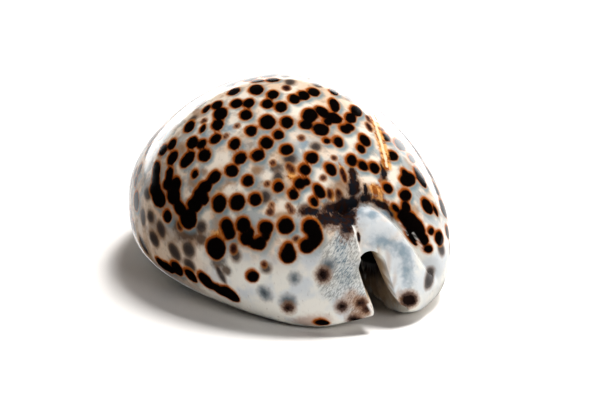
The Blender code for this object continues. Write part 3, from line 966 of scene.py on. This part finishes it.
# Murk colours: partly the shell's dark colour, partly painted shade in the rear pit and crease
MURK_AND_SHADE_BROWN = (0.035, 0.015, 0.010)
BLUE_BLACK_MURK_AND_SHADE = (0.016, 0.019, 0.026)
MURK_AND_SHADE_EDGE = (0.20, 0.11, 0.07)
FURROW = (0.36, 0.19, 0.08)
# The lips' inner faces, partly their tint and partly painted shade, and painted shade deeper in the hollow
LIP_BROWN_AND_SHADE = (0.50, 0.36, 0.22)
PAINTED_HOLLOW_SHADE = (0.055, 0.028, 0.016)
GRAIN_LIGHT = (0.70, 0.71, 0.69)
GRAIN_DARK = (0.24, 0.25, 0.24)
GRAIN_BLUE = (0.13, 0.19, 0.23)
GRAIN_TAN = (0.60, 0.49, 0.41)
GRAIN_BROWN = (0.17, 0.10, 0.075)
# Painted highlight on the lobe's edge and on the crease
HIGHLIGHT_WHITE = (0.90, 0.88, 0.84)

# Grain of the left lobe: its turn in degrees, its stretch, and its noise's size in millimetres, detail
# and roughness
GRAIN_TURN = 45.0
GRAIN_STRETCH = (0.8, 0.8, 2.4)
GRAIN_NOISE = (0.58, 2.0, 0.6)

# Blotches: size in millimetres, the noise at which they start and are full, their cover at both, detail
PEACH_BLOTCHES = (6.0, 0.38, 0.66)
GREY_BLOTCHES = (3.4, 0.42, 0.56)
TAN_BLOTCHES = (4.6, 0.48, 0.66)
LOW_BLOTCHES = (7.0, 0.34, 0.58, 0.25, 0.9)
LILAC_BLOTCHES = (5.0, 0.45, 0.68)
CLOUD_BLOTCHES = (1.8, 0.50, 0.66, 0.0, 0.30)
GOLD_BLOTCHES = (0.9, 0.42, 0.62)
MURK_BLOTCHES = (1.2, 0.40, 0.60)
BORDER_BLOTCHES = (1.6, 0.42, 0.60, 0.0, 1.0, 2.0)
BORDER_GAPS = (0.9, 0.28, 0.46)
GREY_COVER = 0.9
TAN_COVER = 0.6

# How the noise is stretched: upright, slanting, and in streaks down the orange and the murk
UPRIGHT = (1.3, 1.0, 0.8)
SLANTING = (1.6, 1.0, 0.6)
ORANGE_STREAKS = (1.0, 1.0, 0.4)
MURK_STREAKS = (1.0, 1.0, 0.55)

# How far edges wander: size in millimetres, amount and detail
SPOT_WANDER = (1.4, 0.55, 3.0)
PATCH_WANDER = (1.0, 0.5, 3.0)
BLUE_WANDER = (1.3, 1.5, 3.0)
ORANGE_WANDER = (0.7, 0.8, 2.0)
LOBE_WANDER = (2.0, 0.5, 2.0)
TIP_WANDER = (1.6, 0.6, 2.0)
MURK_WANDER = (0.7, 0.9, 4.0)
BLUE_SPOT_WANDER = (0.8, 0.9, 2.0)
FRINGED_WANDER = (0.5, 0.8, 2.0)
LINE_WANDER = (1.2, 0.7, 3.0)
MOUTH_WANDER = (1.5, 0.3, 2.0)

# Patches laid over the ground in this order, each with its most cover
PATCH_COVERS = (
    ("stain", STAIN, 0.62), ("cream", CREAM, 0.9), ("smear", SMEAR, 0.92), ("lilac", LILAC, 0.92),
)

# Where each patch or line sets in, where it is full, and its cover at both
PATCH_EDGE = (0.20, 0.85)
BLUE_PATCH = (0.10, 1.15, 0.0, 0.85)
PINK_PATCH = (0.20, 0.80, 0.0, 0.80)
ORANGE_PATCH = (0.18, 0.70, 0.0, 0.97)
LOBE_PATCH = (0.25, 0.60)
LOBE_COVER = 0.72
BLUE_GRAIN = (0.10, 0.80)
TIP_GRAIN = (0.15, 0.75)
GRAIN_EDGE = (0.34, 0.62)
SHADE = (-1.25, 0.05, 0.0, 0.88)
MURK_FRINGE = (0.08, 0.45, 0.0, 0.85)
MURK_CORE = (0.32, 0.66)
LINE_BORDER = (1.55, 0.75)
LINE_BORDER_COVER = 0.95
LINE_CORE = (0.52, 0.20, 0.0, 0.95)
HIGHLIGHT_LINE_EDGE = (0.62, 0.12, 0.0, 0.80)
FURROW_COVER = 0.35
LIP_EDGE = (0.15, 0.45, 0.0, 0.90)
HOLLOW_SHADE_EDGE = (0.50, 0.90)

# The gloss: the enamel's roughness, what the lobe's grain and the mouth add to it, and the bump
GLOSS_IOR = 1.23
GLOSS_BLOTCHES = (3.0, 0.3, 0.7, 0.09, 0.16)
LOBE_ROUGHNESS = 0.22
MOUTH_ROUGHNESS = 0.40
RIPPLE_SIZE = 2.6
RIPPLE_HEIGHT = 0.35
GRAIN_HEIGHT = 1.2
BUMP_STRENGTH = 0.6
BUMP_DISTANCE = 0.0001

# Profiles across a spot's edge: millimetres inside it, colour, and cover
RIM_EDGE = (
    (-0.90, (0.62, 0.36, 0.15), 0.0),
    (-0.52, (0.54, 0.19, 0.025), 0.55),
    (-0.27, (0.36, 0.085, 0.005), 0.97),
    (0.20, (0.15, 0.04, 0.007), 1.0),
)
DARK_EDGE = (
    (-0.36, (0.30, 0.10, 0.018), 0.0),
    (-0.16, (0.12, 0.033, 0.007), 0.85),
    (-0.02, (0.022, 0.007, 0.004), 1.0),
    (0.08, (0.006, 0.003, 0.0022), 1.0),
    (0.30, (0.004, 0.0024, 0.0020), 1.0),
)
# Grey spots: partly paler spots of the shell, partly a painted reflection veiling dark ones
GREY_EDGE = (
    (-0.95, (0.33, 0.24, 0.17), 0.0),
    (-0.40, (0.20, 0.11, 0.06), 0.55),
    (0.05, (0.07, 0.045, 0.035), 0.90),
    (0.70, (0.040, 0.030, 0.028), 0.96),
)
BLUE_EDGE = (
    (-1.20, (0.45, 0.40, 0.36), 0.0),
    (-0.50, (0.30, 0.31, 0.32), 0.60),
    (0.20, (0.14, 0.17, 0.19), 0.90),
    (1.00, (0.060, 0.075, 0.09), 0.96),
)
SOFT_EDGE = (
    (-1.30, (0.42, 0.27, 0.17), 0.0),
    (-0.60, (0.30, 0.15, 0.07), 0.55),
    (-0.10, (0.09, 0.035, 0.018), 0.92),
    (0.50, (0.018, 0.010, 0.009), 1.0),
)
BROWN_EDGE = (
    (-0.60, (0.50, 0.28, 0.12), 0.0),
    (-0.20, (0.34, 0.12, 0.03), 0.80),
    (0.10, (0.10, 0.028, 0.010), 0.95),
    (0.50, (0.030, 0.010, 0.008), 1.0),
)


def ground_colours(n, mm):
    """The enamel's ground: cream above, greyer and browner down the sides, milky towards the rear base."""
    ground = n.mix(n.mottle(mm, *PEACH_BLOTCHES), CREAM, PEACH)
    flank, pale = n.field("flank"), n.field("pale")
    ground = n.mix(n.times(flank, n.mottle(mm, *GREY_BLOTCHES), GREY_COVER), ground, BLUE_GREY)
    browner = n.mottle(n.turned(mm, 0.0, UPRIGHT), *TAN_BLOTCHES)
    ground = n.mix(n.times(flank, browner, TAN_COVER), ground, TAN)
    ground = n.mix(n.times(n.field("low"), n.mottle(mm, *LOW_BLOTCHES)), ground, TAN)
    ground = n.mix(pale, ground, n.mix(n.mottle(mm, *LILAC_BLOTCHES), MILK, LILAC))
    cloudy = n.mottle(n.turned(mm, GRAIN_TURN, SLANTING), *CLOUD_BLOTCHES)
    ground = n.mix(n.times(cloudy, n.less(pale)), ground, SMEAR)
    edge = n.swing(mm, *PATCH_WANDER)
    for name, colour, most in PATCH_COVERS:
        ground = n.mix(n.band(n.plus(n.field(name), edge), *PATCH_EDGE, 0.0, most), ground, colour)
    ground = n.mix(n.band(n.plus(n.field("blue"), n.swing(mm, *BLUE_WANDER)), *BLUE_PATCH), ground, BLUE)
    ground = n.mix(n.band(n.plus(n.field("pink"), edge), *PINK_PATCH), ground, PINK)
    streaks = n.turned(mm, 0.0, ORANGE_STREAKS)
    orange = n.mix(n.mottle(streaks, *GOLD_BLOTCHES), ORANGE, GOLD)
    glow = n.plus(n.field("orange"), n.swing(streaks, *ORANGE_WANDER))
    return n.mix(n.band(glow, *ORANGE_PATCH), ground, orange)


def grained(n, mm, grain):
    """The left lobe's slanting ridges, bluer in its middle and browner at its tip."""
    dark = n.mix(n.band(n.field("blue"), *BLUE_GRAIN), GRAIN_DARK, GRAIN_BLUE)
    tip = n.band(n.plus(n.field("pink"), n.swing(mm, *TIP_WANDER)), *TIP_GRAIN)
    dark = n.mix(tip, dark, GRAIN_BROWN)
    return n.mix(n.band(grain, *GRAIN_EDGE), dark, n.mix(tip, GRAIN_LIGHT, GRAIN_TAN))


def spot_colours(n, mm, ground):
    """Shade below and right of each spot, the murk over the canal, partly painted shade in its pit and
    crease, and the spots in their rims.
    """
    wander = n.swing(mm, *SPOT_WANDER)
    shade = n.band(n.plus(n.field("dark_shade"), wander), *SHADE)
    colour = n.mix(n.times(shade, n.less(n.field("pale"))), ground, SHADOW_BLUE)
    # Grey spots: partly a painted reflection veiling dark spots near the outline and low on the left
    colour = n.layer(n.plus(n.field("grey"), wander), GREY_EDGE, colour)
    colour = n.layer(n.plus(n.field("brown"), wander), BROWN_EDGE, colour)
    # The murk is partly painted shade in the rear end's pit, crease and lobe step
    streaks = n.turned(mm, 0.0, MURK_STREAKS)
    murk_and_crease_shade = n.plus(n.field("murk_and_crease_shade"), n.swing(streaks, *MURK_WANDER))
    colour = n.mix(n.band(murk_and_crease_shade, *MURK_FRINGE), colour, MURK_AND_SHADE_EDGE)
    murky_and_shaded = n.mix(n.mottle(streaks, *MURK_BLOTCHES), MURK_AND_SHADE_BROWN, BLUE_BLACK_MURK_AND_SHADE)
    colour = n.mix(n.band(murk_and_crease_shade, *MURK_CORE), colour, murky_and_shaded)
    colour = n.layer(n.plus(n.field("blue_spot"), n.swing(mm, *BLUE_SPOT_WANDER)), BLUE_EDGE, colour)
    colour = n.layer(n.plus(n.field("fringed"), n.swing(mm, *FRINGED_WANDER)), SOFT_EDGE, colour)
    colour = n.layer(n.plus(n.field("dark_rim"), wander), RIM_EDGE, colour)
    return n.layer(n.plus(n.field("dark"), wander), DARK_EDGE, colour)


def mantle_line(n, mm, colour):
    """The line where the mantle's halves met, in cream between ragged orange borders."""
    line = n.plus(n.field("mantle"), n.swing(mm, *LINE_WANDER))
    border = n.mix(n.mottle(mm, *BORDER_BLOTCHES), ORANGE, GOLD)
    cover = n.times(n.band(line, *LINE_BORDER), n.mottle(mm, *BORDER_GAPS), LINE_BORDER_COVER)
    return n.mix(n.band(line, *LINE_CORE), n.mix(cover, colour, border), LINE_CREAM)


def mouth_colours(n, mm, colour):
    """Furrows between the teeth, brown on the lips' inner faces, partly painted shade, near black painted
    shade within, and the white lines beside the mouth, which are painted highlights.
    """
    colour = n.mix(n.times(n.field("furrow"), FURROW_COVER), colour, FURROW)
    depth = n.plus(n.field("depth"), n.swing(mm, *MOUTH_WANDER))
    # Painted shade into the mouth: brown on the lips' inner faces, partly their tint, then near black
    # within
    colour = n.mix(n.band(depth, *LIP_EDGE), colour, LIP_BROWN_AND_SHADE)
    colour = n.mix(n.band(depth, *HOLLOW_SHADE_EDGE), colour, PAINTED_HOLLOW_SHADE)
    # Painted highlights: white lines along the lobe's edge and on the crease
    return n.mix(n.band(n.field("highlight_line"), *HIGHLIGHT_LINE_EDGE), colour, HIGHLIGHT_WHITE)


def enamel():
    n = Nodes("cowrie_enamel")
    scaled = n.add("ShaderNodeVectorMath", {"operation": "SCALE"}, Scale=MILLIMETRES)
    n.put(scaled.inputs[0], n.add("ShaderNodeTexCoord").outputs["Object"])
    mm = scaled.outputs[0]
    grain = n.noise(n.turned(mm, GRAIN_TURN, GRAIN_STRETCH), *GRAIN_NOISE)
    lobe = n.band(n.plus(n.field("lobe"), n.swing(mm, *LOBE_WANDER)), *LOBE_PATCH)

    colour = n.mix(n.times(lobe, LOBE_COVER), ground_colours(n, mm), grained(n, mm, grain))
    colour = spot_colours(n, mm, colour)
    colour = mantle_line(n, mm, colour)
    colour = mouth_colours(n, mm, colour)
    n.put(n.shader.inputs["Base Color"], colour)

    rougher = n.plus(n.times(lobe, LOBE_ROUGHNESS), n.times(n.field("depth"), MOUTH_ROUGHNESS))
    n.put(n.shader.inputs["Roughness"], n.plus(n.mottle(mm, *GLOSS_BLOTCHES), rougher))
    n.put(n.shader.inputs["IOR"], GLOSS_IOR)
    ripple = n.times(n.noise(mm, RIPPLE_SIZE), RIPPLE_HEIGHT)
    height = n.plus(ripple, n.times(grain, lobe, GRAIN_HEIGHT))
    bump = n.add("ShaderNodeBump", Strength=BUMP_STRENGTH, Distance=BUMP_DISTANCE, Height=height)
    n.put(n.shader.inputs["Normal"], bump.outputs["Normal"])
    return n.material


def make_shell():
    points, faces, places, depth, furrow, outer_count = build_shell()
    normals = outward(points, faces, outer_count)
    outer = points[:outer_count]
    tree = BVHTree.FromPolygons(points.tolist(), faces)

    def seen(readings):
        return photo_spots(readings, tree, outer, normals)

    spots = {name: seen(readings) for name, readings in SPOTS.items()}
    spots["dark"] += hidden_spots(outer, normals, sum(spots.values(), []))

    mesh = bpy.data.meshes.new("cowrie")
    mesh.from_pydata(points.tolist(), [], faces)
    mesh.materials.append(enamel())
    mesh.shade_smooth()
    square = mesh.uv_layers.new(name="OFBake")
    square.uv.foreach_set("vector", np.array(places, np.float32).ravel())
    for name, placed in spots.items():
        add_field(mesh, name, spot_field(points, placed))
    add_field(mesh, "dark_shade", spot_field(points, spots["dark"], SHADE_SHIFT))
    add_field(mesh, "dark_rim", spot_field(points, spots["dark"], RIM_SHIFT))
    # Distance to the painted highlight lines
    highlight_line = np.full(len(points), FIELD_FAR * MILLIMETRES)
    for thinning, readings in HIGHLIGHT_LINES:
        line = [photo_place(x, y, tree, outer) for x, y in readings]
        highlight_line = np.minimum(highlight_line, line_distance(points, line) + thinning)
    add_field(mesh, "highlight_line", highlight_line)
    for name, readings in PATCHES.items():
        add_field(mesh, name, patch_field(points, seen(readings)))
    line = [photo_place(x, y, tree, outer) for x, y in MANTLE_SEEN]
    for place in MANTLE_HIDDEN:
        line.append(np.array(tree.find_nearest(place)[0]))
    add_field(mesh, "mantle", line_distance(points, smooth_line(line)))
    add_field(mesh, "depth", depth)
    add_field(mesh, "furrow", furrow)
    x, y, z = points.T
    milky_top = MILKY_TOP[1] + MILKY_REAR_RISE * ramp(-y, *MILKY_REAR)
    milky = (1.0 - ramp(z, MILKY_TOP[0], milky_top)) * ramp(-y, *MILKY_FROM)
    pale = np.maximum(1.0 - ramp(z, *PALE_TOP), milky)
    add_field(mesh, "pale", np.where(depth > 0.0, 1.0, pale))
    add_field(mesh, "flank", fade_in_out(z, *FLANK_BAND))
    add_field(mesh, "low", (1.0 - ramp(z, *LOW_TOP)) * (1.0 - ramp(-y, *LOW_UNTIL)))
    shell = add_object("cowrie", mesh)
    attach(shell, "root")
    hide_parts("shell")


# The floor and the light

# A long low bright wall behind the shell, which the gloss mirrors along the outline: where its foot starts,
# which way it runs, its height, and its parts, each with its span along the wall and its radiance
WALL_FOOT = (0.42, 0.2725)
WALL_ALONG = (-0.545, 0.84)
WALL_HEIGHT = 0.24
WALL_PARTS = (
    ("wall_right", -0.15, 0.20, 6.0), ("wall_middle", 0.20, 0.42, 2.5),
    ("wall_left", 0.42, 1.30, 5.0), ("wall_end", 1.30, 3.40, 3.0),
)
# The gloss doesn't mirror the floor, but these panels below the wall: name, span along it, depth. So the
# upper outline turns white and the low dark spots stay dark.
UNDER_PARTS = (
    ("under_right", -1.60, 0.35, 0.21), ("under_middle", 0.35, 1.00, 0.34),
    ("under_left", 1.00, 2.00, 0.60), ("under_end", 2.00, 3.40, 1.10),
)
UNDER_RADIANCE = 1.0

# The floor reaches just under the shell, so that the two don't share a plane
FLOOR_HALF = 3.0
FLOOR_DROP = 0.0001
FLOOR_COLOUR = (0.95, 0.92, 0.89)
FLOOR_ROUGHNESS = 0.9

# Two lights that aren't mirrored: place, size and power; and the weak light from all round
LIGHT_AIM = (0.0, 0.0, 0.02)
KEY = ((0.38, 0.10, 1.05), (0.36, 0.36), 12.5)
FILL = ((0.12, -1.02, 0.55), (0.50, 0.40), 3.7)
SKY_COLOUR = (0.95, 0.97, 1.0)
SKY_STRENGTH = 0.06


def make_floor():
    n = Nodes("floor_paper")
    n.put(n.shader.inputs["Base Color"], FLOOR_COLOUR)
    n.put(n.shader.inputs["Roughness"], FLOOR_ROUGHNESS)
    mesh = bpy.data.meshes.new("floor")
    corners = [(x * FLOOR_HALF, y * FLOOR_HALF, 0.0) for x, y in ((-1, -1), (1, -1), (1, 1), (-1, 1))]
    mesh.from_pydata(corners, [], [(0, 1, 2, 3)])
    mesh.materials.append(n.material)
    floor = add_object("floor", mesh)
    floor.location.z = -FLOOR_DROP
    floor.visible_glossy = False


def add_light(name, place, aim, size, power, shows):
    """A soft panel; one that doesn't show lights the shell without being mirrored in its gloss."""
    data = bpy.data.lights.new(name, "AREA")
    data.shape = "RECTANGLE"
    data.size, data.size_y = size
    data.energy = power
    light = add_object(name, data)
    light.location = place
    light.rotation_euler = (Vector(aim) - Vector(place)).to_track_quat("-Z", "Y").to_euler()
    light.visible_glossy = shows


def make_light():
    world = bpy.data.worlds.new("studio")
    world.use_nodes = True
    back = world.node_tree.nodes["Background"]
    back.inputs["Color"].default_value = (*SKY_COLOUR, 1.0)
    back.inputs["Strength"].default_value = SKY_STRENGTH
    world.cycles_visibility.glossy = False
    bpy.context.scene.world = world
    for name, (place, size, power) in (("key", KEY), ("fill", FILL)):
        add_light(name, place, LIGHT_AIM, size, power, shows=False)
    parts = [(*part, 0.0, WALL_HEIGHT) for part in WALL_PARTS]
    parts += [(name, near, far, UNDER_RADIANCE, -drop, 0.0) for name, near, far, drop in UNDER_PARTS]
    for name, near, far, radiance, low, high in parts:
        foot = [a + b * (near + far) / 2 for a, b in zip(WALL_FOOT, WALL_ALONG)]
        level = (low + high) / 2
        facing_shell = (foot[0] - WALL_ALONG[1], foot[1] + WALL_ALONG[0], level)
        size = (far - near, high - low)
        power = radiance * pi * size[0] * size[1]
        add_light(name, (*foot, level), facing_shell, size, power, shows=True)
    bpy.context.scene.view_settings.view_transform = "Standard"
    bpy.context.scene.view_settings.look = "Medium High Contrast"


make_camera()
make_shell()
make_floor()
make_light()
